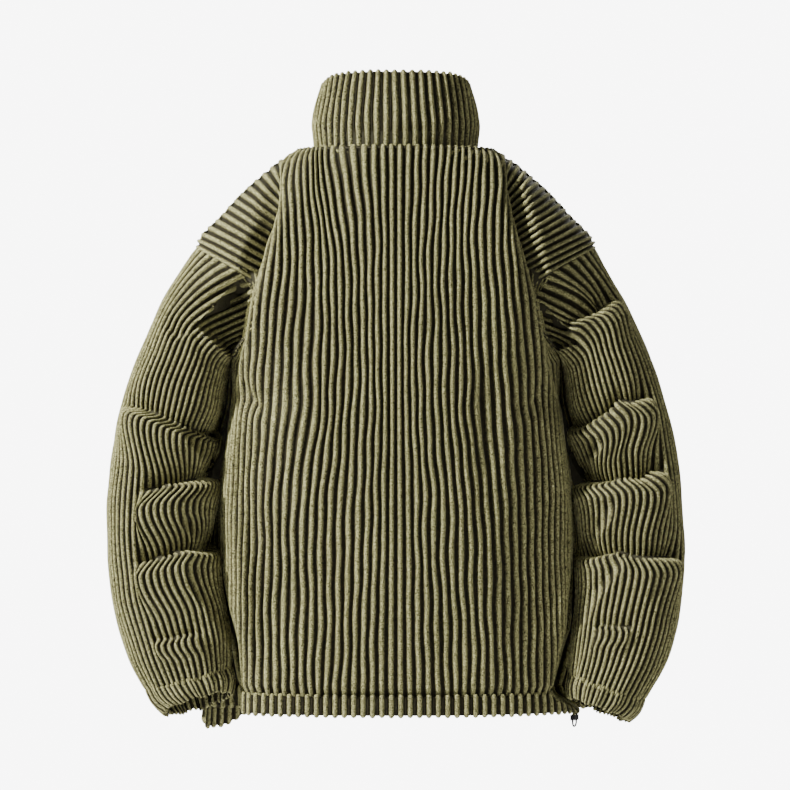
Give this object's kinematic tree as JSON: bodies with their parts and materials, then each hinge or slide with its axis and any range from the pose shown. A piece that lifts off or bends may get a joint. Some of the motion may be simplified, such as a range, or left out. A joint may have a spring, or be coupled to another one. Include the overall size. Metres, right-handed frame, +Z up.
{
  "type": "corduroy jacket",
  "caption": "Zip-front corduroy jacket with a stand collar, long dropped-shoulder sleeves, banded cuffs and hem, and an elastic hem drawcord with a lock, filled out and hollow.",
  "frame": {"origin": "centre of the neck at the height of the back collar seam, where the wearer holds the jacket up", "axes": "+Z up, -Y the way the wearer faces, +X the wearer's left"},
  "size_m": [0.684, 0.2426, 0.7842],
  "materials": {
    "corduroy": "wide-wale cotton corduroy, olive green",
    "woven_tape": "dark olive woven zip tape",
    "zip_metal": "dark plated metal, satin",
    "elastic_cord": "black braided elastic",
    "cord_lock_plastic": "black, glossy"
  },
  "bodies": {
    "jacket": {"back": "corduroy", "hem_back": "corduroy", "front_left": "corduroy", "hem_front_left": "corduroy", "front_right": "corduroy", "hem_front_right": "corduroy", "sleeve_left": "corduroy", "cuff_left": "corduroy", "sleeve_right": "corduroy", "cuff_right": "corduroy", "collar": "corduroy", "zip_tape_left": "woven_tape", "zip_tape_right": "woven_tape", "zip_chain": "zip_metal", "zip_box": "zip_metal", "zip_slider": "zip_metal", "hem_cord": "elastic_cord", "cord_lock": "cord_lock_plastic"},
    "pull_tab": {"zip_pull": "zip_metal"}
  },
  "joints": [
    {"name": "pull_tab_hinge", "type": "hinge", "parent": "jacket", "child": "pull_tab", "pos_m": [0, -0.07328, 0.00081], "axis": [-1, 0, 0], "range_deg": [0, 165]}
  ]
}
